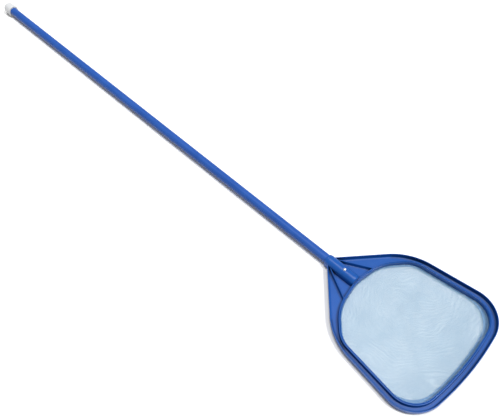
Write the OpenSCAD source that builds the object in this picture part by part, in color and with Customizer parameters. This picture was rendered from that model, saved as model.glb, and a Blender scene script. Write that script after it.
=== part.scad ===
// Leaf skimmer net: a flat moulded scoop head with a fine net, on a round
// tube that is held in the head's socket by a sprung snap button.
// Millimetres. +X runs along the pole towards the head, +Z is up, and Z = 0
// is the surface that the tool lies on.

/* [Pole] */
// Outside diameter of the tube
pole_d = 20; // [18:0.5:21]
// Wall thickness of the tube
pole_wall = 1.2; // [0.8:0.1:1.6]
// Full length of the tube, both ends included
pole_len = 1200; // [600:10:1800]
// Height of the pole axis above the ground
axis_z = 14; // [14:0.5:16]

/* [End cap] */
// Outside diameter of the cap
cap_d = 28; // [25:0.5:28]
// Length of the cap
cap_len = 30; // [27:1:40]
// How far the tube goes into the cap
cap_grip = 19; // [12:1:22]
// Radius of the rounded closed end
cap_round = 7; // [3:0.5:9]

/* [Head frame] */
// Top of the outer wall above the ground
rim_h = 18; // [16:0.5:20]
// Underside of the web between the walls, clear of the ground
web_z = 5; // [4.5:0.5:9]
// Top of the inner wall, which stands on the ground
wall_top = 17.5; // [14:0.5:18]
// Thickness of the outer wall
outer_wall = 2; // [1.8:0.1:3]
// Thickness of the inner wall
inner_wall = 2.6; // [2:0.1:3.5]
// Thickness of the web plate between the walls
web_t = 2.5; // [2:0.5:3]
// Thickness of the two shoulder ribs
rib_t = 1.8; // [1.4:0.1:2.4]
// Height of the rib tops above the ground
rib_top = 17; // [13:0.5:17.5]

/* [Socket] */
// Outside radius of the socket
socket_r = 13; // [12.5:0.1:13.5]
// Length of the socket, without its mouth bead
socket_len = 73; // [72:0.5:74]
// Depth from the mouth to the stop for the tube
socket_stop = 60; // [58:0.5:62]
// Radial clearance around the tube
socket_gap = 0.15; // [0.1:0.05:0.3]

/* [Net] */
// Thickness of the net
net_t = 0.6; // [0.4:0.1:0.8]
// Height of the ledge that carries the net
ledge_z = 5; // [4:0.2:6]
// Thickness of the ledge
ledge_t = 2.4; // [1.6:0.2:3]
// Top of the clamp ring above the ground
ring_top = 17.4; // [13:0.2:18]
// Thickness of the clamp ring
ring_t = 1.8; // [1.4:0.1:2]

/* [Snap button] */
// Position of the button from the socket mouth
button_x = 42.5; // [36:0.5:46]
// Radius of the button
button_r = 3.5; // [3:0.1:3.8]
// How far the button stands out of the socket
button_out = 2.8; // [2:0.1:3.2]
// Clearance between the button and its holes
button_gap = 0.1; // [0.05:0.05:0.2]

/* [Hidden] */
$fn = 64;
step = 5;                        // degrees per facet on the plan outlines
eps = 0.01;

pole_r = pole_d / 2;
tube_in = pole_r - pole_wall;
bore_r = pole_r + socket_gap;
bead_len = 4;
pole_end = socket_stop - 1;      // tube end, just off the stop
pole_start = pole_end - pole_len;
cap_mouth = pole_start + cap_grip;
cap_back = cap_mouth - cap_len;
web_top = web_z + web_t;

// Plan outlines as [x, y, corner radius], anticlockwise from above.
outer_pts = [[4, -10, 1.5], [115.5, -129.5, 138], [340.5, -160, 70],
             [361, 0, 615], [340.5, 160, 70], [115.5, 129.5, 138],
             [4, 10, 1.5]];
inner_pts = [[74, 0, 90], [86, -69, 98], [133, -119, 56],
             [327, -142.5, 55], [345.5, 0, 600], [327, 142.5, 55],
             [133, 119, 56], [86, 69, 98]];
// Free edge of the ledge: close to the wall at the rear, wide at the front.
ledge_pts = [[77, 0, 88], [88, -64, 94], [135.5, -114.3, 58],
             [318, -136.4, 59], [336, 0, 560], [318, 136.4, 59],
             [135.5, 114.3, 58], [88, 64, 94]];

front_x = 361 - 615 * (1 / cos(atan(20.5 / 160)) - 1);
x0 = -(front_x + cap_back) / 2;  // puts the middle of the tool at X = 0

function unit(v) = v / norm(v);
function at(l, i) = l[(i + len(l)) % len(l)];
function xy(p) = [p[0], p[1]];

// Points of one rounded corner c between its neighbours p and n.
function corner(p, c, n, r) =
    let (u = unit(p - c), v = unit(n - c), half = acos(u * v) / 2,
         o = c + unit(u + v) * (r / sin(half)),
         a = c + u * (r / tan(half)) - o, b = c + v * (r / tan(half)) - o,
         a0 = atan2(a[1], a[0]), a1 = atan2(b[1], b[0]),
         turn = ((a1 - a0 + 540) % 360) - 180,
         k = max(2, ceil(abs(turn) / step)))
    [for (i = [0:k]) o + r * [cos(a0 + turn * i / k), sin(a0 + turn * i / k)]];

function rounded(pts) =
    [for (i = [0:len(pts) - 1])
        each corner(xy(at(pts, i - 1)), xy(pts[i]), xy(at(pts, i + 1)),
                    pts[i][2])];

// Where the lines p + s u and q + t v cross.
function cross_at(p, u, q, v) =
    let (d = u[0] * v[1] - u[1] * v[0], w = q - p)
    p + u * ((w[0] * v[1] - w[1] * v[0]) / d);

// The outline moved inwards by d[i] along edge i, from point i to point i + 1.
function inset(pts, d) =
    [for (i = [0:len(pts) - 1])
        let (p = xy(at(pts, i - 1)), c = xy(pts[i]), n = xy(at(pts, i + 1)),
             u = unit(c - p), v = unit(n - c),
             e = at(d, i - 1), f = d[i],
             m = cross_at(p + e * [-u[1], u[0]], u, c + f * [-v[1], v[0]], v))
        [m[0], m[1], max(1, pts[i][2] - (e + f) / 2)]];

function all(pts, d) = [for (p = pts) d];

module plate(pts, z0, z1) {
    translate([0, 0, z0]) linear_extrude(z1 - z0) polygon(rounded(pts));
}

module along_x(x, z) {
    translate([x, 0, z]) rotate([0, 90, 0]) children();
}

module pole_tube() {
    color([0.16, 0.32, 0.68]) difference() {
        along_x(pole_start, axis_z) cylinder(h = pole_len, r = pole_r);
        along_x(pole_start - 1, axis_z) cylinder(h = pole_len + 2, r = tube_in);
        translate([button_x, 0, axis_z])
            cylinder(h = pole_r + 2, r = button_r + button_gap);
    }
}

// Cup-shaped cap: a thick sleeve over the tube with a rounded closed end.
module end_cap() {
    r = cap_d / 2;
    arc = [for (i = [0:8])
        [r - cap_round + cap_round * cos(90 * i / 8),
         cap_len - cap_round + cap_round * sin(90 * i / 8)]];
    color([0.93, 0.93, 0.92])
        translate([cap_mouth, 0, axis_z]) rotate([0, -90, 0])
            rotate_extrude()
                polygon(concat([[0, cap_grip + 0.5], [pole_r, cap_grip + 0.5],
                                [pole_r, 0], [r - 1, 0], [r, 1]],
                               arc, [[0, cap_len]]));
}

module wall_ring(pts, t, z0, z1) {
    difference() {
        plate(pts, z0, z1);
        plate(inset(pts, all(pts, t)), z0 - 1, z1 + 1);
    }
}

module shoulder_rib(side) {
    a = [12, 11 * side];
    b = [81.5, 47.5 * side];
    d = b - a;
    translate([a[0], a[1], web_z + 1])
        rotate([0, 0, atan2(d[1], d[0])])
            translate([0, -rib_t / 2, 0])
                cube([norm(d), rib_t, rib_top - web_z - 1]);
}

// Tube with a bead at its mouth and a tapered closed end.
module socket_body() {
    along_x(0, axis_z) cylinder(h = socket_len - 7, r = socket_r);
    along_x(socket_len - 7, axis_z)
        cylinder(h = 7, r1 = socket_r, r2 = socket_r - 6);
    along_x(-bead_len, axis_z)
        cylinder(h = bead_len + 1, r1 = pole_r + 1.4, r2 = pole_r + 2.2);
}

// One moulding: a raised outer channel, the inner wall that stands on the
// ground, the ledge for the net, two shoulder ribs and the socket.
module head_frame() {
    wall_out = inset(inner_pts, all(inner_pts, -inner_wall));
    color([0.2, 0.38, 0.76]) difference() {
        union() {
            wall_ring(outer_pts, outer_wall, web_z - 0.5, rim_h);
            difference() {
                plate(inset(outer_pts, all(outer_pts, 1)), web_z, web_top);
                plate(inset(inner_pts, all(inner_pts, -1)), 0, rim_h);
            }
            difference() {
                plate(wall_out, 0, wall_top);
                plate(inner_pts, ledge_z, rim_h);
                plate(inner_pts, -1, ledge_z - ledge_t);
                plate(ledge_pts, -1, rim_h);
            }
            shoulder_rib(1);
            shoulder_rib(-1);
            socket_body();
        }
        along_x(-bead_len - 1, axis_z)
            cylinder(h = socket_stop + bead_len + 1, r = bore_r);
        along_x(socket_stop - 1, axis_z) cylinder(h = 6, r = 7);
        translate([button_x, 0, axis_z])
            cylinder(h = socket_r + 2, r = button_r + button_gap);
    }
}

// Ring that traps the edge of the net between itself and the ledge.
module net_clamp_ring() {
    color([0.2, 0.38, 0.76])
        wall_ring(inset(inner_pts, all(inner_pts, 0.4)), ring_t,
                  ledge_z + net_t, ring_top);
}

module net_mesh() {
    color([0.62, 0.75, 0.87])
        plate(inset(inner_pts, all(inner_pts, 0.6)), ledge_z, ledge_z + net_t);
}

// Domed pin with a stop flange inside the tube and a stub through the spring.
module snap_button() {
    top = axis_z + socket_r + button_out;
    base = top - button_r;
    flange = axis_z + 7.3;
    dome = [for (i = [0:10])
        [button_r * cos(9 * i), base + button_r * sin(9 * i)]];
    color([0.86, 0.87, 0.88]) translate([button_x, 0, 0])
        rotate_extrude()
            polygon(concat([[0, flange - 1.7], [1.5, flange - 1.7],
                            [1.5, flange - 0.9], [4.4, flange - 0.9],
                            [4.4, flange], [button_r, flange]],
                           dome));
}

// Flat strip bent into a V, its upper leg under the button's flange.
module button_spring() {
    t = 0.6;
    zt = axis_z + 6.4 - t;       // underside of the upper leg
    zb = axis_z - 7.7;           // underside of the lower leg
    b = button_x - 30;
    color([0.7, 0.71, 0.72]) difference() {
        translate([0, 4, 0]) rotate([90, 0, 0]) linear_extrude(8)
            polygon([[b, axis_z], [b + 1, axis_z + 0.9],
                     [b + 22, zt + t], [b + 37, zt + t], [b + 37, zt],
                     [b + 22.2, zt], [b + 1.6, axis_z + 0.3],
                     [b + 1.6, axis_z - 0.3], [b + 22.2, zb + t],
                     [b + 37, zb + t], [b + 37, zb], [b + 22, zb],
                     [b + 1, axis_z - 0.9]]);
        translate([button_x, 0, axis_z]) cylinder(h = 9, r = 1.6);
    }
}

translate([x0, 0, 0]) {
    pole_tube();
    end_cap();
    head_frame();
    net_clamp_ring();
    net_mesh();
    snap_button();
    button_spring();
}
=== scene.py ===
"""Leaf skimmer net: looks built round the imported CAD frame.

Lengths are written in millimetres in the part's own frame (origin on the ground
under the socket mouth, +X towards the head) and turned into metres in the row
frame by place().
"""

import math

import bmesh
import bpy
import numpy as np
from mathutils import Matrix, Vector
from mathutils.bvhtree import BVHTree


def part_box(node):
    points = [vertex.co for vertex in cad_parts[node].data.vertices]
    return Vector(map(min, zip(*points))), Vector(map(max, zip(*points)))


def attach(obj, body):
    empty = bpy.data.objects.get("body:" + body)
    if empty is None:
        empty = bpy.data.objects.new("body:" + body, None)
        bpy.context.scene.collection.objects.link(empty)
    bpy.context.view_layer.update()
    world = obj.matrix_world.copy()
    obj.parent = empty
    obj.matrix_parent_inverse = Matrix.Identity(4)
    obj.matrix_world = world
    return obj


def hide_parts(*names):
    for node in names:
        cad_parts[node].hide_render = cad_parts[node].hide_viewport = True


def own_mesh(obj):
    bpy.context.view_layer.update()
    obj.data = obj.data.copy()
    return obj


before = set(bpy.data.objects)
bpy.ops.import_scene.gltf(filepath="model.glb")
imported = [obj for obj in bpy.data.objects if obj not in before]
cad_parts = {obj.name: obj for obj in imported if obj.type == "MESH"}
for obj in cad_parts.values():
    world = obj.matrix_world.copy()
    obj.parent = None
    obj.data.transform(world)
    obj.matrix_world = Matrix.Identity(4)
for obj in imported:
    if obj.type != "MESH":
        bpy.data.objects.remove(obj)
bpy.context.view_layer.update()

X0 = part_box("pole_tube")[1].x * 1000 - 59.0   # row X of the socket mouth, mm
scene = bpy.context.scene


def place(pts):
    """Part millimetres to row metres."""
    p = np.array(pts, float).reshape(-1, 3).copy()
    p[:, 0] += X0
    return p * 0.001


# --------------------------------------------------------------------------
# Camera
# --------------------------------------------------------------------------
def make_camera():
    right = np.array([0.721074, 0.691848, -0.037395])
    down = np.array([0.576250, -0.628810, -0.522048])
    fwd = np.cross(right, down)
    at = place([[386.79, -571.54, 1331.41]])[0]
    cam = bpy.data.objects.new("camera", bpy.data.cameras.new("camera"))
    scene.collection.objects.link(cam)
    m = Matrix.Identity(4)
    for i in range(3):
        m[i][0], m[i][1], m[i][2], m[i][3] = right[i], -down[i], -fwd[i], at[i]
    cam.matrix_world = m
    cam.data.sensor_fit = "HORIZONTAL"
    cam.data.sensor_width = 36.0
    cam.data.lens = 50.4
    cam.data.clip_start, cam.data.clip_end = 0.05, 50.0
    cam.data.dof.use_dof = False
    scene.camera = cam


make_camera()


# --------------------------------------------------------------------------
# Plan outlines
# --------------------------------------------------------------------------
OUTER = [[4, -10, 1.5], [115.5, -129.5, 138], [340.5, -160, 70], [361, 0, 615],
         [340.5, 160, 70], [115.5, 129.5, 138], [4, 10, 1.5]]
INNER = [[74, 0, 90], [86, -69, 98], [133, -119, 56], [327, -142.5, 55],
         [345.5, 0, 600], [327, 142.5, 55], [133, 119, 56], [86, 69, 98]]
LEDGE = [[77, 0, 88], [88, -64, 94], [135.5, -114.3, 58], [318, -136.4, 59],
         [336, 0, 560], [318, 136.4, 59], [135.5, 114.3, 58], [88, 64, 94]]
HUB = np.array([200.0, 0.0])


def unit(v):
    return v / np.linalg.norm(v)


def rounded(pts, step=1.0):
    out = []
    for i, c in enumerate(pts):
        p, n = pts[i - 1], pts[(i + 1) % len(pts)]
        c2, p2, n2 = np.array(c[:2], float), np.array(p[:2], float), np.array(n[:2], float)
        u, v = unit(p2 - c2), unit(n2 - c2)
        half = math.acos(max(-1.0, min(1.0, float(u @ v)))) / 2
        r = c[2]
        o = c2 + unit(u + v) * (r / math.sin(half))
        a, b = c2 + u * (r / math.tan(half)) - o, c2 + v * (r / math.tan(half)) - o
        a0, a1 = math.atan2(a[1], a[0]), math.atan2(b[1], b[0])
        turn = (a1 - a0 + 3 * math.pi) % (2 * math.pi) - math.pi
        k = max(3, math.ceil(abs(math.degrees(turn)) / step))
        for j in range(k + 1):
            t = a0 + turn * j / k
            out.append(o + r * np.array([math.cos(t), math.sin(t)]))
    return np.array(out)


def inset(pts, d):
    out = []
    for i, c in enumerate(pts):
        p, n = np.array(pts[i - 1][:2], float), np.array(pts[(i + 1) % len(pts)][:2], float)
        c2 = np.array(c[:2], float)
        u, v = unit(c2 - p), unit(n - c2)
        a = p + d * np.array([-u[1], u[0]])
        b = c2 + d * np.array([-v[1], v[0]])
        den = u[0] * v[1] - u[1] * v[0]
        w = b - a
        m = a + u * ((w[0] * v[1] - w[1] * v[0]) / den)
        out.append([m[0], m[1], max(0.6, c[2] - d)])
    return out


def radii(poly, ang):
    """Distance from HUB to a closed outline along each angle."""
    q = poly - HUB
    phi = np.unwrap(np.arctan2(q[:, 1], q[:, 0]))
    keep = np.r_[True, np.diff(phi) > 1e-9]
    q, phi = q[keep], phi[keep]
    base = phi[0]
    a = (ang - base) % (2 * math.pi) + base
    q2, phi2 = np.vstack([q, q[:1]]), np.r_[phi, base + 2 * math.pi]
    i = np.clip(np.searchsorted(phi2, a, side="right") - 1, 0, len(q) - 1)
    s, e = q2[i], q2[i + 1]
    d, side = np.c_[np.cos(ang), np.sin(ang)], e - s
    return (s[:, 0] * side[:, 1] - s[:, 1] * side[:, 0]) / (
        d[:, 0] * side[:, 1] - d[:, 1] * side[:, 0])


def even_angles(poly, step):
    """Angles from HUB, evenly spaced along the outline, alike on both sides."""
    half = np.linspace(0, math.pi, 2001)
    r = radii(poly, half)
    p = np.c_[r * np.cos(half), r * np.sin(half)]
    s = np.r_[0, np.cumsum(np.linalg.norm(np.diff(p, axis=0), axis=1))]
    n = int(round(s[-1] / step))
    a = np.interp(np.linspace(0, s[-1], n + 1), s, half)
    return np.r_[a, 2 * math.pi - a[1:-1][::-1]]


_curves = {}


def curve(kind, d, ang):
    """The outline 'O', 'I' or 'L' moved outwards by d (inwards for 'O'), on the rays."""
    key = (kind, round(d, 4), len(ang))
    if key not in _curves:
        base, sign = {"O": (OUTER, 1), "I": (INNER, -1), "L": (LEDGE, -1)}[kind]
        _curves[key] = radii(rounded(inset(base, sign * d)), ang)
    return _curves[key]


def fillet(points, n=5):
    """A polyline of (u, z, radius) corners with each corner rounded in its plane."""
    out = []
    for i, (x, z, r) in enumerate(points):
        if i in (0, len(points) - 1) or r <= 0:
            out.append((x, z))
            continue
        c = np.array([x, z])
        u = unit(np.array(points[i - 1][:2]) - c)
        v = unit(np.array(points[i + 1][:2]) - c)
        half = math.acos(max(-1.0, min(1.0, float(u @ v)))) / 2
        o = c + unit(u + v) * (r / math.sin(half))
        a, b = c + u * (r / math.tan(half)) - o, c + v * (r / math.tan(half)) - o
        a0, a1 = math.atan2(a[1], a[0]), math.atan2(b[1], b[0])
        turn = (a1 - a0 + 3 * math.pi) % (2 * math.pi) - math.pi
        for j in range(n + 1):
            t = a0 + turn * j / n
            out.append(tuple(o + r * np.array([math.cos(t), math.sin(t)])))
    return out


# --------------------------------------------------------------------------
# Meshes
# --------------------------------------------------------------------------
def mesh_object(name, verts, faces, smooth=True):
    me = bpy.data.meshes.new(name)
    me.from_pydata([tuple(v) for v in verts], [], [tuple(f) for f in faces])
    me.validate()
    ob = bpy.data.objects.new(name, me)
    scene.collection.objects.link(ob)
    bm = bmesh.new()
    bm.from_mesh(me)
    bmesh.ops.recalc_face_normals(bm, faces=bm.faces)
    bm.to_mesh(me)
    bm.free()
    if smooth:
        me.polygons.foreach_set("use_smooth", [True] * len(me.polygons))
    me.update()
    return ob


def loft(name, rings, closed_section=True):
    """Rings (k, n, 3) of n points each: quads round the n and along the k."""
    rings = np.array(rings)
    k, n = rings.shape[:2]
    faces = []
    last = k if closed_section else k - 1
    for i in range(last):
        i2 = (i + 1) % k
        for j in range(n):
            j2 = (j + 1) % n
            faces.append((i * n + j, i * n + j2, i2 * n + j2, i2 * n + j))
    return mesh_object(name, place(rings.reshape(-1, 3)), faces)


def revolve(name, profile, at, along, n=96, spin=0.0):
    """Profile (distance along the axis, radius) turned about the axis. A radius of
    0 at an end closes it in a point; a closed profile makes a ring."""
    along = unit(np.array(along, float))
    side = unit(np.cross(along, [0, 1, 0] if abs(along[1]) < 0.9 else [1, 0, 0]))
    up = np.cross(along, side)
    at = np.array(at, float)
    verts, faces, rows = [], [], []
    for s, r in profile:
        if r < 1e-6:
            rows.append([len(verts)] * n)
            verts.append(at + along * s)
            continue
        rows.append(list(range(len(verts), len(verts) + n)))
        for j in range(n):
            t = 2 * math.pi * j / n + spin
            verts.append(at + along * s + (side * math.cos(t) + up * math.sin(t)) * r)
    loop = profile[0][1] > 1e-6 and profile[-1][1] > 1e-6
    for i in range(len(rows) - (0 if loop else 1)):
        a, b = rows[i], rows[(i + 1) % len(rows)]
        for j in range(n):
            j2 = (j + 1) % n
            f = [a[j], a[j2], b[j2], b[j]]
            f = [x for m, x in enumerate(f) if x not in f[:m]]
            if len(f) > 2:
                faces.append(f)
    return mesh_object(name, place(verts), faces)


def boolean(ob, other, how):
    mod = ob.modifiers.new("bool", "BOOLEAN")
    mod.operation = how
    mod.object = other
    mod.solver = "MANIFOLD"
    apply_all(ob)
    bpy.data.objects.remove(other)
    return ob


def apply_all(ob):
    dg = bpy.context.evaluated_depsgraph_get()
    dg.update()
    me = bpy.data.meshes.new_from_object(ob.evaluated_get(dg))
    ob.modifiers.clear()
    old = ob.data
    ob.data = me
    me.name = ob.name
    bpy.data.meshes.remove(old)


def tidy(ob, merge=2e-6, sharp=33.0):
    """Merges doubles, removes slivers, and splits shading only at true edges."""
    bm = bmesh.new()
    bm.from_mesh(ob.data)
    bmesh.ops.remove_doubles(bm, verts=bm.verts, dist=merge)
    bmesh.ops.dissolve_degenerate(bm, edges=bm.edges, dist=merge)
    bmesh.ops.recalc_face_normals(bm, faces=bm.faces)
    for e in bm.edges:
        e.smooth = not (len(e.link_faces) == 2
                        and e.calc_face_angle(0) > math.radians(sharp))
    for f in bm.faces:
        f.smooth = True
    bm.to_mesh(ob.data)
    bm.free()
    ob.data.update()


def mark_recess_shade(ob, reach=0.011, count=26):
    """Stores on each point how closed in it is by its own piece (0 open, 1 fully closed in), for the painted
    shade that the plastic puts in corners and channels."""
    me = ob.data
    tree = BVHTree.FromPolygons([v.co for v in me.vertices], [list(p.vertices) for p in me.polygons])
    rays = []
    for i in range(count):                      # spread evenly, denser near the normal
        u = (i + 0.5) / count
        t, r = i * 2.399963, math.sqrt(u)
        rays.append((r * math.cos(t), r * math.sin(t), math.sqrt(1.0 - u)))
    value = np.zeros(len(me.vertices), np.float32)
    for i, v in enumerate(me.vertices):
        n = v.normal
        side = n.orthogonal().normalized()
        up = n.cross(side)
        start = v.co + n * 0.0002
        total = 0.0
        for a, b, c in rays:
            hit = tree.ray_cast(start, side * a + up * b + n * c, reach)
            if hit[0] is not None:
                total += 1.0 - hit[3] / reach
        value[i] = total / count
    # the foot of the outer wall, where the channel lies deepest in shade: extra painted shade here stands in for
    # the shadow the wall casts across the channel
    p = np.array([v.co for v in me.vertices]) * 1000.0
    p[:, 0] -= X0
    q = p[:, :2] - HUB
    gap = radii(rounded(OUTER), np.arctan2(q[:, 1], q[:, 0])) - np.linalg.norm(q, axis=1)
    foot = np.clip((6.5 - gap) / 1.5, 0, 1) * np.clip((gap - 1.9) / 0.3, 0, 1)
    foot *= (p[:, 2] > WEB_TOP - 0.6) & (p[:, 0] > 90)
    value = (value + 0.16 * foot).astype(np.float32)
    me.attributes.new("recess", "FLOAT", "POINT").data.foreach_set("value", value)


# Head moulding ------------------------------------------------------------
WEB_TOP, WEB_LOW, RIM, WALL = 7.5, 5.0, 18.0, 17.5

# Outer channel wall as (inset from the outer outline, z, corner radius).
OUT_PART = [(6.2, WEB_LOW, 0), (3.0, WEB_LOW, 0.9), (2.6, 4.5, 0.2), (0.5, 4.5, 0.6),
            (0.0, RIM, 0.75), (1.75, RIM, 0.6), (2.3, WEB_TOP, 3.0), (7.0, WEB_TOP, 0)]
# Inner wall as (outset from the inner outline, z, corner radius), down to the ledge.
IN_TOP = [(5.3, WEB_TOP, 0), (3.0, WEB_TOP, 1.2), (2.5, WALL, 0.7), (0.12, WALL, 0.6),
          (0.0, 5.0, 0.3), (-1.2, 5.0, 0)]
IN_LOW = [(-1.2, 2.6, 0), (0.0, 2.6, 0.8), (0.15, 0.0, 0.4), (2.4, 0.0, 0.7),
          (2.7, WEB_LOW, 1.2), (5.2, WEB_LOW, 0)]
# Free edge of the ledge as (outset from the ledge outline, z, corner radius).
EDGE = [(1.2, 5.0, 0), (0.0, 5.0, 0.6), (0.0, 2.6, 0.6), (1.2, 2.6, 0)]


def head_shell():
    ang = even_angles(rounded(OUTER), 2.1)
    d = np.c_[np.cos(ang), np.sin(ang)]

    def ring(r, z):
        p = HUB + d * r[:, None]
        return np.c_[p, np.full(len(p), z)]

    rings = [ring(curve("O", u, ang), z) for u, z in fillet(OUT_PART)]
    a, b = curve("O", 7.0, ang), curve("I", 5.3, ang)
    for t in np.linspace(0, 1, 12)[1:-1]:
        rings.append(ring(a + (b - a) * t, WEB_TOP))
    rings += [ring(curve("I", v, ang), z) for v, z in fillet(IN_TOP)]
    rings += [ring(curve("L", w, ang), z) for w, z in fillet(EDGE)]
    rings += [ring(curve("I", v, ang), z) for v, z in fillet(IN_LOW)]
    a, b = curve("I", 5.2, ang), curve("O", 6.2, ang)
    for t in np.linspace(0, 1, 12)[1:-1]:
        rings.append(ring(a + (b - a) * t, WEB_LOW))
    return loft("head_frame_shell", rings)


def socket_section(r, foot, n_top=46, n_fil=7, n_low=24):
    """One (y, z) loop: a barrel whose sides drop straight to the web and flare
    there by the radius foot; below the web it is round again."""
    zc, ztop, zlow = 14.0, WEB_TOP, WEB_LOW
    right = []
    for i in range(n_top // 2 + 1):             # from the crown to the widest point
        t = math.pi / 2 * (1 - i / (n_top // 2))
        right.append((r * math.cos(t), zc + r * math.sin(t)))
    draft = 0.25 * min(1.0, foot)
    for z in (12.0, ztop + foot + 0.6):
        right.append((r + draft * (zc - z) / (zc - ztop), z))
    y0 = r + draft + foot
    for i in range(n_fil + 1):                  # the flare, ending flat on the web
        t = math.pi + math.pi / 2 * i / n_fil
        right.append((y0 + foot * math.cos(t), ztop + foot - 0.02 + foot * math.sin(t)))
    right.append((y0, zlow + 0.3))
    y1 = math.sqrt(r * r - (zlow - zc) ** 2)
    tl = math.atan2(zlow - zc, y1)
    right.append((y1 + 1.2, zlow + 0.05))
    right.append((y1 + 0.35, zlow - 0.15))
    for i in range(1, n_low // 2 + 1):
        t = tl + (-math.pi / 2 - tl) * i / (n_low // 2)
        right.append((r * math.cos(t), zc + r * math.sin(t)))
    left = [(-y, z) for y, z in right[1:-1]][::-1]
    return right + left


def socket_solid():
    """Barrel with a bead at the mouth, a rounded closed end and filleted sides."""
    stations = []
    bead = [(-4.0, 10.9), (-3.85, 11.25), (-3.5, 11.55), (-2.9, 11.8), (-1.9, 12.05),
            (-0.9, 12.2), (-0.2, 12.2), (0.25, 12.1), (0.5, 12.12), (0.8, 12.5),
            (1.2, 12.85), (1.8, 13.0)]
    for x, r in bead:
        stations.append((x, r, 0.05))
    for x in np.linspace(4, 64.5, 34):
        k = min(1.0, max(0.0, (x - 7) / 14.0))
        k = k * k * (3 - 2 * k)
        stations.append((x, 13.0, 0.05 + 1.4 * k))
    for i in range(1, 13):
        t = i / 12 * math.radians(84)
        stations.append((65.0 + 8.6 * math.sin(t), 9.5 + 3.5 * math.cos(t), 1.45))
    rings = []
    for x, r, a in stations:
        sec = socket_section(r, a)
        rings.append([(x, y, z) for y, z in sec])
    rings = np.array(rings)
    k, n = rings.shape[:2]
    verts = [tuple(v) for v in rings.reshape(-1, 3)]
    faces = [(i * n + j, i * n + (j + 1) % n, (i + 1) * n + (j + 1) % n, (i + 1) * n + j)
             for i in range(k - 1) for j in range(n)]
    for row, x in ((0, stations[0][0]), (k - 1, stations[-1][0])):
        c = len(verts)
        verts.append((x, 0.0, 14.0))
        for j in range(n):
            faces.append((row * n + j, row * n + (j + 1) % n, c))
    return mesh_object("socket_tool", place(verts), faces)


def rib_solid(side):
    """Shoulder rib: a thin wall with a rounded top, a flared foot and a drafted face."""
    a, b = np.array([10.5, 10.6 * side]), np.array([82.0, 47.8 * side])
    d = unit(b - a)
    nrm = np.array([-d[1], d[0]])
    length = np.linalg.norm(b - a)
    top = 17.0

    def section(h, w):
        """(across, z) loop for a rib with its top at h, half width w at the top."""
        foot = WEB_TOP
        pts = [(-w - 0.35 - 1.3, foot - 0.02), (-w - 0.35 - 0.75, foot + 0.12),
               (-w - 0.35 - 0.3, foot + 0.45), (-w - 0.28, foot + 1.1),
               (-w - 0.02, h - 0.75), (-w + 0.16, h - 0.3), (-w + 0.55, h)]
        loop = pts + [(-x, z) for x, z in pts[::-1]]
        return loop + [(w + 1.6, foot - 1.2), (-w - 1.6, foot - 1.2)]

    rings = []
    for s in np.r_[np.linspace(0, 6, 5), np.linspace(9, length, 26)]:
        rise = min(1.0, s / 6.0)
        h = WEB_TOP + 1.3 + (top - WEB_TOP - 1.3) * (1 - (1 - rise) ** 2)
        c = a + d * s
        rings.append([(c[0] + nrm[0] * u, c[1] + nrm[1] * u, z) for u, z in section(h, 0.95)])
    rings = np.array(rings)
    k, n = rings.shape[:2]
    verts = [tuple(v) for v in rings.reshape(-1, 3)]
    faces = [(i * n + j, i * n + (j + 1) % n, (i + 1) * n + (j + 1) % n, (i + 1) * n + j)
             for i in range(k - 1) for j in range(n)]
    faces.append(tuple(range(n)))
    faces.append(tuple((k - 1) * n + j for j in range(n))[::-1])
    return mesh_object("rib_tool", place(verts), faces)


def build_head():
    head = head_shell()
    head.name = "head_moulding"
    boolean(head, socket_solid(), "UNION")
    # the ribs stop inside the inner wall
    for side in (1, -1):
        boolean(head, rib_solid(side), "UNION")
    # tube bore with a lead-in at the mouth, and the recess behind the stop
    boolean(head, revolve("bore_tool", [(-1.0, 0), (-1.0, 10.7), (1.0, 10.7), (1.8, 10.15),
                                        (65.0, 10.15), (65.0, 0)],
                          (-5.0, 0, 14), (1, 0, 0), n=96), "DIFFERENCE")
    boolean(head, revolve("recess_tool", [(0, 0), (0, 7.0), (6.5, 7.0), (6.5, 0)],
                          (58.5, 0, 14), (1, 0, 0), n=72), "DIFFERENCE")
    boolean(head, revolve("hole_tool", [(0, 0), (0, 3.6), (9.4, 3.6), (11.0, 5.0), (16, 5.0), (16, 0)],
                          (42.5, 0, 17.0), (0, 0, 1), n=48), "DIFFERENCE")
    tidy(head)
    mark_recess_shade(head)
    return head


def build_ring():
    """Clamp ring: a band that stands on the net with a rounded top and a soft foot."""
    ang = even_angles(rounded(INNER), 2.2)
    d = np.c_[np.cos(ang), np.sin(ang)]
    loop = fillet([(-1.3, 5.62, 0), (-0.42, 5.62, 0.25), (-0.42, 17.35, 0.5),
                   (-1.95, 17.35, 0.65), (-2.2, 5.62, 0.3), (-1.3, 5.62, 0)])[:-1]
    rings = []
    for v, z in loop:
        p = HUB + d * curve("I", v, ang)[:, None]
        rings.append(np.c_[p, np.full(len(p), z)])
    ob = loft("clamp_ring", rings)
    tidy(ob)
    return ob


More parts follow.
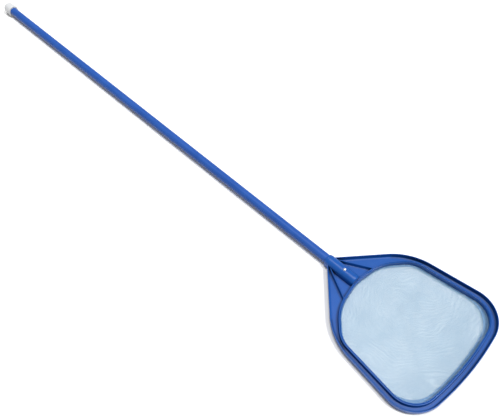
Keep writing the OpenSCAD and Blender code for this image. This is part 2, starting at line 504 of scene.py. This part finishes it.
def build_net():
    """The net: one stretched sheet whose edge lies on the ledge under the ring."""
    ang = even_angles(rounded(INNER), 3.0)
    d = np.c_[np.cos(ang), np.sin(ang)]
    rim = radii(rounded(inset(INNER, 0.7)), ang)
    free = radii(rounded(LEDGE), ang)
    steps = list(np.linspace(0, 1, 5))
    rings = [(free + (rim - free) * (1 - t)) for t in steps]
    for t in np.linspace(1, 0.0, 46)[1:-1]:
        rings.append(free * t)
    verts, faces = [], []
    for r in rings:
        p = HUB + d * r[:, None]
        for (x, y), rr, f in zip(p, r, free):
            k = min(1.0, rr / f)                 # 1 at the ledge's edge, 0 at the hub
            sag = 1.25 * (1 - k ** 2.2) if rr < f else 0.0
            # shallow tension ripples that fade towards the edge
            fade = (1 - k ** 6) if rr < f else 0.0
            w = (0.16 * math.sin(x / 8.3 + 1.9 * math.sin(y / 41.0))
                 + 0.13 * math.sin(y / 10.7 + 1.6 * math.sin(x / 37.0) + 0.6)
                 + 0.10 * math.sin((x + y) / 14.9 + 1.1 * math.sin((x - y) / 29.0)))
            verts.append((x, y, 5.32 - sag + w * fade))
    n, k = len(ang), len(rings)
    for i in range(k - 1):
        for j in range(n):
            j2 = (j + 1) % n
            faces.append((i * n + j, i * n + j2, (i + 1) * n + j2, (i + 1) * n + j))
    c = len(verts)
    verts.append((HUB[0], HUB[1], 5.32 - 1.25))
    for j in range(n):
        faces.append(((k - 1) * n + j, (k - 1) * n + (j + 1) % n, c))
    ob = mesh_object("net_sheet", place(verts), faces)
    me = ob.data
    if me.polygons[0].normal.z < 0:
        me.flip_normals()
    co = np.array([v.co for v in me.vertices])
    lo, hi = co.min(0), co.max(0)
    uv = me.uv_layers.new(name="OFBake")
    for loop_ in me.loops:
        p = co[loop_.vertex_index]
        uv.data[loop_.index].uv = (0.01 + 0.98 * (p[0] - lo[0]) / (hi[0] - lo[0]),
                                   0.01 + 0.98 * (p[1] - lo[1]) / (hi[1] - lo[1]))
    area = sum(f.area for f in me.polygons)
    return ob, tuple(hi[:2] - lo[:2]), area


def build_pole():
    prof = [(0, 9.75), (0.25, 10.0)]
    prof += [(s, 10.0) for s in np.linspace(12, 1188, 60)]
    prof += [(1199.75, 10.0), (1200, 9.75), (1200, 9.05), (1199.75, 8.8)]
    prof += [(s, 8.8) for s in np.linspace(1188, 12, 20)]
    prof += [(0.25, 8.8), (0, 9.05)]
    ob = revolve("pole", prof, (-1141.0, 0, 14.0), (1, 0, 0), n=96)
    boolean(ob, revolve("pole_hole", [(0, 0), (0, 3.6), (8, 3.6), (8, 0)],
                        (42.5, 0, 17.5), (0, 0, 1), n=48), "DIFFERENCE")
    tidy(ob)
    return ob


def build_cap():
    """Cap: a lip at the mouth, a shallow groove behind it, a slightly tapered body
    and a rounded end with a small gate dimple in its middle."""
    body = [(0.0, 10.05, 0), (0.0, 13.55, 0.7), (0.9, 14.0, 0.8), (3.6, 14.0, 0.6),
            (4.0, 13.6, 0.35), (4.8, 13.6, 0.35), (5.2, 13.85, 0.5), (22.5, 13.55, 9.0),
            (28.9, 10.6, 6.0), (30.0, 4.2, 8.0), (30.0, 2.1, 0.5), (29.6, 1.7, 0.4), (29.6, 0.0, 0)]
    prof = fillet(body, n=7)
    inner = [(19.4, 0.0), (19.4, 9.4), (19.0, 10.02), (12, 10.02), (6, 10.03), (0.6, 10.04)]
    prof = inner + prof
    ob = revolve("cap", prof, (-1122.0, 0, 14.0), (-1, 0, 0), n=96)
    tidy(ob)
    return ob


def build_button():
    """Sprung pin: stub, stop flange, straight side and a domed top with a small flat."""
    r, top = 3.5, 29.8
    prof = [(19.6, 0.0), (19.6, 1.3), (19.75, 1.5), (20.35, 1.5), (20.4, 1.6), (20.4, 4.2),
            (20.6, 4.4), (21.1, 4.4), (21.3, 4.2), (21.3, 3.65), (21.45, 3.5)]
    prof += [(z, r) for z in np.linspace(22.2, 26.0, 6)]
    for i in range(1, 15):
        t = math.pi / 2 * i / 14
        prof.append((top - r + r * math.sin(t), r * math.cos(t) if i < 14 else 0.0))
    ob = revolve("button", prof, (42.5, 0, 0), (0, 0, 1), n=56)
    tidy(ob)
    return ob


def build_spring():
    """Flat strip folded over at the left, its two legs opening to the right."""
    mid = [(49.5, 20.1), (44.0, 20.1), (38.0, 20.08), (35.5, 19.95), (33.5, 19.55),
           (28.5, 18.25), (23.5, 16.95), (18.5, 15.65), (15.2, 14.78), (13.9, 14.45)]
    mid += [(13.35, 14.18), (13.2, 13.98), (13.35, 13.78)]
    mid += [(13.9, 13.5), (15.2, 13.15), (18.5, 11.8), (23.5, 10.3), (28.5, 8.75),
            (33.5, 7.2), (35.5, 6.75), (38.0, 6.62), (44.0, 6.6), (49.5, 6.6)]
    mid = np.array(mid)
    # a denser, smooth line through the points
    t = np.r_[0, np.cumsum(np.linalg.norm(np.diff(mid, axis=0), axis=1))]
    s = np.linspace(0, t[-1], 90)
    p = np.c_[np.interp(s, t, mid[:, 0]), np.interp(s, t, mid[:, 1])]
    for _ in range(3):
        p[1:-1] = 0.25 * p[:-2] + 0.5 * p[1:-1] + 0.25 * p[2:]
    tan = np.gradient(p, axis=0)
    tan /= np.linalg.norm(tan, axis=1)[:, None]
    nrm = np.c_[-tan[:, 1], tan[:, 0]]
    half, w, b = 0.29, 4.0, 0.12
    sec = [(-half + b, -w), (half - b, -w), (half, -w + b), (half, w - b), (half - b, w),
           (-half + b, w), (-half, w - b), (-half, -w + b)]
    verts, faces = [], []
    for q, nn, i in zip(p, nrm, range(len(p))):
        end = min(i, len(p) - 1 - i)
        shrink = 1.0 if end > 4 else 0.72 + 0.07 * end   # legs end in rounded tips
        for a, y in sec:
            verts.append((q[0] + nn[0] * a, y * shrink, q[1] + nn[1] * a))
    n = len(sec)
    for i in range(len(p) - 1):
        for j in range(n):
            j2 = (j + 1) % n
            faces.append((i * n + j, i * n + j2, (i + 1) * n + j2, (i + 1) * n + j))
    faces.append(tuple(range(n)))
    faces.append(tuple((len(p) - 1) * n + j for j in range(n))[::-1])
    ob = mesh_object("spring", place(verts), faces)
    boolean(ob, revolve("spring_hole", [(0, 0), (0, 1.6), (4, 1.6), (4, 0)],
                        (42.5, 0, 18.2), (0, 0, 1), n=32), "DIFFERENCE")
    tidy(ob)
    return ob


# --------------------------------------------------------------------------
# Materials
# --------------------------------------------------------------------------
def new_material(name):
    mat = bpy.data.materials.new(name)
    mat.use_nodes = True
    nt = mat.node_tree
    nt.nodes.clear()
    out = nt.nodes.new("ShaderNodeOutputMaterial")
    bsdf = nt.nodes.new("ShaderNodeBsdfPrincipled")
    nt.links.new(bsdf.outputs[0], out.inputs[0])
    co = nt.nodes.new("ShaderNodeTexCoord").outputs["Object"]
    return mat, nt, bsdf, co


def noise(nt, vec, scale, detail=2.0, rough=0.5, distortion=0.0):
    n = nt.nodes.new("ShaderNodeTexNoise")
    n.inputs["Scale"].default_value = scale
    n.inputs["Detail"].default_value = detail
    n.inputs["Roughness"].default_value = rough
    n.inputs["Distortion"].default_value = distortion
    nt.links.new(vec, n.inputs["Vector"])
    return n.outputs["Fac"]


def mapped(nt, value, a, b, lo=0.0, hi=1.0):
    m = nt.nodes.new("ShaderNodeMapRange")
    m.inputs["From Min"].default_value = lo
    m.inputs["From Max"].default_value = hi
    m.inputs["To Min"].default_value = a
    m.inputs["To Max"].default_value = b
    nt.links.new(value, m.inputs["Value"])
    return m.outputs["Result"]


def mixed(nt, fac, a, b):
    m = nt.nodes.new("ShaderNodeMix")
    m.data_type = "RGBA"
    nt.links.new(fac, m.inputs["Factor"])
    for socket, value in ((m.inputs[6], a), (m.inputs[7], b)):
        if isinstance(value, tuple):
            socket.default_value = (*value, 1.0)
        else:
            nt.links.new(value, socket)
    return m.outputs[2]


def math_node(nt, op, a, b=None):
    m = nt.nodes.new("ShaderNodeMath")
    m.operation = op
    for i, v in enumerate((a, b)):
        if v is None:
            continue
        if isinstance(v, (int, float)):
            m.inputs[i].default_value = v
        else:
            nt.links.new(v, m.inputs[i])
    return m.outputs[0]


def stretched(nt, vec, scale):
    m = nt.nodes.new("ShaderNodeMapping")
    m.inputs["Scale"].default_value = scale
    nt.links.new(vec, m.inputs["Vector"])
    return m.outputs[0]


def bumped(nt, bsdf, height, strength, distance):
    b = nt.nodes.new("ShaderNodeBump")
    b.inputs["Strength"].default_value = strength
    b.inputs["Distance"].default_value = distance
    nt.links.new(height, b.inputs["Height"])
    nt.links.new(b.outputs[0], bsdf.inputs["Normal"])


def blue_plastic(name, tone=1.0, matt=0.33):
    mat, nt, bsdf, co = new_material(name)
    big = noise(nt, co, 9.0, 3.0, 0.55, 0.4)
    small = noise(nt, co, 420.0, 2.0)
    a = (0.0045 * tone, 0.060 * tone, 0.262 * tone)
    b = (0.0075 * tone, 0.074 * tone, 0.315 * tone)
    col = mixed(nt, mapped(nt, big, 0.0, 1.0, 0.3, 0.7), a, b)
    # painted shade: where the recess value is high the colour darkens to a quarter, standing in for shade in
    # corners and channels
    recess_shade = nt.nodes.new("ShaderNodeAttribute")
    recess_shade.attribute_name = "recess"
    shaded_tone = mixed(nt, mapped(nt, big, 0.0, 1.0, 0.3, 0.7), tuple(v * 0.25 for v in a), tuple(v * 0.25 for v in b))
    col = mixed(nt, mapped(nt, recess_shade.outputs["Fac"], 0.0, 1.0, 0.10, 0.46), col, shaded_tone)
    nt.links.new(col, bsdf.inputs["Base Color"])
    # handling scuffs make faint patches that shine less
    scuff = noise(nt, stretched(nt, co, (60.0, 60.0, 60.0)), 1.0, 5.0, 0.65, 0.8)
    rough = math_node(nt, "ADD", mapped(nt, scuff, matt, matt + 0.09, 0.35, 0.75),
                      mapped(nt, small, -0.02, 0.02))
    nt.links.new(rough, bsdf.inputs["Roughness"])
    bsdf.inputs["IOR"].default_value = 1.49
    bsdf.inputs["Specular IOR Level"].default_value = 0.28
    grain = math_node(nt, "ADD", noise(nt, co, 900.0, 2.0), mapped(nt, noise(nt, co, 70.0, 1.0), 0.0, 2.0))
    bumped(nt, bsdf, grain, 0.12, 0.00003)
    return mat


def pole_paint():
    mat, nt, bsdf, co = new_material("pole_paint")
    streak = noise(nt, stretched(nt, co, (3.0, 260.0, 260.0)), 1.0, 3.0, 0.6)
    patch = noise(nt, stretched(nt, co, (22.0, 60.0, 60.0)), 1.0, 3.0, 0.55, 0.5)
    f = math_node(nt, "ADD", mapped(nt, streak, -0.4, 0.4, 0.25, 0.75), mapped(nt, patch, 0.0, 1.0, 0.25, 0.75))
    col = mixed(nt, f, (0.014, 0.063, 0.272), (0.020, 0.082, 0.327))
    nt.links.new(col, bsdf.inputs["Base Color"])
    nt.links.new(mapped(nt, patch, 0.36, 0.48, 0.3, 0.7), bsdf.inputs["Roughness"])
    bsdf.inputs["IOR"].default_value = 1.5
    bsdf.inputs["Specular IOR Level"].default_value = 0.16
    bsdf.inputs["Coat Weight"].default_value = 0.03
    bsdf.inputs["Coat Roughness"].default_value = 0.22
    bumped(nt, bsdf, noise(nt, stretched(nt, co, (120.0, 700.0, 700.0)), 1.0, 2.0), 0.2, 0.00005)
    return mat


def white_plastic():
    mat, nt, bsdf, co = new_material("cap_plastic")
    grime = noise(nt, co, 90.0, 4.0, 0.6, 0.6)
    col = mixed(nt, mapped(nt, grime, 0.0, 1.0, 0.35, 0.75), (0.54, 0.55, 0.56), (0.46, 0.47, 0.48))
    nt.links.new(col, bsdf.inputs["Base Color"])
    nt.links.new(mapped(nt, grime, 0.38, 0.52, 0.3, 0.7), bsdf.inputs["Roughness"])
    bumped(nt, bsdf, noise(nt, co, 700.0, 2.0), 0.2, 0.00006)
    return mat


def net_fabric():
    """Plain weave of fine yarns: square holes, crossings that pass over and under, and long, curved ripples
    where the cloth is pulled more or less tightly, which open the holes slightly and carry a painted sheen along
    their crests."""
    mat, nt, bsdf, co = new_material("net_weave")
    pitch = 0.0016
    # the yarns wander a little, so the holes are not all alike
    drift = nt.nodes.new("ShaderNodeTexNoise")
    drift.inputs["Scale"].default_value = 24.0
    drift.inputs["Detail"].default_value = 2.0
    nt.links.new(co, drift.inputs["Vector"])
    off = nt.nodes.new("ShaderNodeVectorMath")
    off.operation = "MULTIPLY_ADD"
    off.inputs[1].default_value = (0.0025, 0.0025, 0.0)
    nt.links.new(drift.outputs["Color"], off.inputs[0])
    nt.links.new(co, off.inputs[2])
    sep = nt.nodes.new("ShaderNodeSeparateXYZ")
    nt.links.new(off.outputs[0], sep.inputs[0])

    def cell(v):
        """Distance from the nearest yarn's middle (0 on it, 1 between yarns), and
        which yarn it is."""
        u = math_node(nt, "MULTIPLY", v, 1.0 / pitch)
        f = math_node(nt, "FRACT", u)
        d = math_node(nt, "MULTIPLY", math_node(nt, "ABSOLUTE", math_node(nt, "SUBTRACT", f, 0.5)), 2.0)
        return d, math_node(nt, "FLOOR", u)

    (cx, ix), (cy, iy) = cell(sep.outputs["X"]), cell(sep.outputs["Y"])
    odd = math_node(nt, "PINGPONG", math_node(nt, "ADD", ix, iy), 1.0)

    # fine ripples a few millimetres apart: arcs round a point in one part of the
    # cloth, crosswise lines in another, both bent by a slow, smooth drift
    slow = nt.nodes.new("ShaderNodeTexNoise")
    slow.inputs["Scale"].default_value = 10.0
    slow.inputs["Detail"].default_value = 2.6
    slow.inputs["Roughness"].default_value = 0.5
    nt.links.new(co, slow.inputs["Vector"])
    bent = nt.nodes.new("ShaderNodeVectorMath")
    bent.operation = "MULTIPLY_ADD"
    bent.inputs[1].default_value = (0.095, 0.095, 0.0)
    nt.links.new(slow.outputs["Color"], bent.inputs[0])
    nt.links.new(co, bent.inputs[2])
    far_off = nt.nodes.new("ShaderNodeVectorMath")
    far_off.operation = "DISTANCE"
    far_off.inputs[1].default_value = tuple(place([[235.0, 95.0, 0.0]])[0])
    nt.links.new(bent.outputs[0], far_off.inputs[0])
    bent_xy = nt.nodes.new("ShaderNodeSeparateXYZ")
    nt.links.new(bent.outputs[0], bent_xy.inputs[0])

    def ripples(value, spacing):
        return math_node(nt, "SINE", math_node(nt, "MULTIPLY", value, 2 * math.pi / spacing))

    arcs = ripples(far_off.outputs["Value"], 0.0080)
    waves = ripples(math_node(nt, "ADD", bent_xy.outputs["X"],
                              math_node(nt, "MULTIPLY", bent_xy.outputs["Y"], -0.8)), 0.0102)
    part = mapped(nt, noise(nt, co, 7.0, 1.5), 0.0, 1.0, 0.46, 0.54)
    wave = math_node(nt, "ADD", math_node(nt, "MULTIPLY", arcs, part),
                     math_node(nt, "MULTIPLY", waves, math_node(nt, "SUBTRACT", 1.0, part)))
    crest = math_node(nt, "POWER", mapped(nt, wave, 0.0, 1.0, -1.0, 1.0), 2.2)
    where = mapped(nt, noise(nt, co, 27.0, 2.0, 0.5, 0.4), 0.08, 1.0, 0.38, 0.62)
    ripple_density_and_sheen = math_node(nt, "MULTIPLY", crest, where)
    patch = noise(nt, co, 12.0, 2.0, 0.5, 0.6)

    half = math_node(nt, "SUBTRACT", mapped(nt, patch, 0.305, 0.335, 0.3, 0.7),
                     math_node(nt, "MULTIPLY", ripple_density_and_sheen, 0.020))
    near = math_node(nt, "MINIMUM", cx, cy)
    hole = mapped(nt, math_node(nt, "SUBTRACT", near, half), 0.0, 1.0, -0.05, 0.05)
    alpha = math_node(nt, "SUBTRACT", 1.0, math_node(nt, "MULTIPLY", hole, 0.97))
    nt.links.new(alpha, bsdf.inputs["Alpha"])

    shade = mapped(nt, noise(nt, co, 60.0, 2.0, 0.5, 0.5), 0.0, 1.0, 0.3, 0.7)
    col = mixed(nt, shade, (0.150, 0.295, 0.430), (0.185, 0.335, 0.470))
    # painted sheen: the yarn colour is lifted towards pale blue along the ripple crests
    col = mixed(nt, math_node(nt, "MULTIPLY", ripple_density_and_sheen, 0.60), col, (0.42, 0.56, 0.66))
    nt.links.new(col, bsdf.inputs["Base Color"])
    nt.links.new(mapped(nt, shade, 0.42, 0.56), bsdf.inputs["Roughness"])
    bsdf.inputs["IOR"].default_value = 1.45

    def rounded_yarn(c):
        r = math_node(nt, "MINIMUM", math_node(nt, "MULTIPLY", c, 3.2), 1.0)
        return math_node(nt, "SUBTRACT", 1.0, math_node(nt, "MULTIPLY", r, r))

    over = math_node(nt, "MULTIPLY", rounded_yarn(cx), mapped(nt, odd, 0.6, 1.0))
    under = math_node(nt, "MULTIPLY", rounded_yarn(cy), mapped(nt, odd, 1.0, 0.6))
    bumped(nt, bsdf, math_node(nt, "MAXIMUM", over, under), 0.55, 0.00022)
    return mat


def bright_steel():
    mat, nt, bsdf, co = new_material("bright_steel")
    n = noise(nt, co, 900.0, 3.0, 0.6)
    nt.links.new(mixed(nt, n, (0.90, 0.91, 0.93), (0.95, 0.96, 0.97)), bsdf.inputs["Base Color"])
    bsdf.inputs["Metallic"].default_value = 1.0
    nt.links.new(mapped(nt, n, 0.30, 0.42), bsdf.inputs["Roughness"])
    bumped(nt, bsdf, n, 0.1, 0.00003)
    return mat


def spring_steel():
    mat, nt, bsdf, co = new_material("spring_steel")
    n = noise(nt, stretched(nt, co, (60.0, 1500.0, 400.0)), 1.0, 3.0, 0.6)
    nt.links.new(mixed(nt, n, (0.50, 0.51, 0.53), (0.66, 0.67, 0.68)), bsdf.inputs["Base Color"])
    bsdf.inputs["Metallic"].default_value = 1.0
    nt.links.new(mapped(nt, n, 0.28, 0.42), bsdf.inputs["Roughness"])
    bumped(nt, bsdf, n, 0.15, 0.00003)
    return mat


# --------------------------------------------------------------------------
# Pieces
# --------------------------------------------------------------------------
def put(ob, mat, body, slot, *nodes):
    ob.data.materials.clear()
    ob.data.materials.append(mat)
    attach(ob, body)
    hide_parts(*nodes)
    return ob


blue = blue_plastic("head_plastic")
put(build_head(), blue, "skimmer", "blue_plastic", "head_frame")
ring = put(build_ring(), blue_plastic("ring_plastic", 1.1, 0.16), "skimmer", "blue_plastic", "net_clamp_ring")
net, net_size, net_area = build_net()
put(net, net_fabric(), "skimmer", "net", "net_mesh")
put(build_pole(), pole_paint(), "skimmer", "pole_paint", "pole_tube")
put(build_cap(), white_plastic(), "skimmer", "white_plastic", "end_cap")
put(build_button(), bright_steel(), "button", "bright_steel", "snap_button")
spring = put(build_spring(), spring_steel(), "skimmer", "spring_steel", "button_spring")
anchor = place([[42.5, 0.0, 6.3]])[0]
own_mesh(spring)


# --------------------------------------------------------------------------
# Floor, light and world
# --------------------------------------------------------------------------
def make_stage():
    me = bpy.data.meshes.new("floor")
    me.from_pydata([(-8, -8, -0.0002), (8, -8, -0.0002), (8, 8, -0.0002), (-8, 8, -0.0002)], [],
                   [(0, 1, 2, 3)])
    floor = bpy.data.objects.new("floor", me)
    scene.collection.objects.link(floor)
    mat = bpy.data.materials.new("floor_paper")
    mat.use_nodes = True
    b = mat.node_tree.nodes["Principled BSDF"]
    b.inputs["Base Color"].default_value = (0.86, 0.86, 0.86, 1)
    b.inputs["Roughness"].default_value = 0.9
    b.inputs["Specular IOR Level"].default_value = 0.1
    me.materials.append(mat)


def sun(name, tilt, azimuth, strength, angle):
    """A far, soft lamp: tilt from straight overhead, azimuth from +X towards +Y."""
    data = bpy.data.lights.new(name, "SUN")
    data.energy = strength
    data.angle = math.radians(angle)
    ob = bpy.data.objects.new(name, data)
    scene.collection.objects.link(ob)
    t, z = math.radians(tilt), math.radians(azimuth)
    to = Vector((math.sin(t) * math.cos(z), math.sin(t) * math.sin(z), math.cos(t)))
    ob.location = to * 3.0
    ob.rotation_mode = "QUATERNION"
    ob.rotation_quaternion = (-to).to_track_quat("-Z", "Y")
    return ob


make_stage()
sun("key", 28.0, 33.0, 2.75, 16.0)
sun("top", 6.0, 150.0, 1.8, 14.0)

world = bpy.data.worlds.new("studio")
scene.world = world
world.use_nodes = True
bg = world.node_tree.nodes["Background"]
bg.inputs[0].default_value = (1.0, 1.0, 1.0, 1.0)
bg.inputs[1].default_value = 0.36

scene.view_settings.view_transform = "Standard"
scene.view_settings.look = "None"
scene.view_settings.exposure = 0.0
scene.view_settings.gamma = 1.0
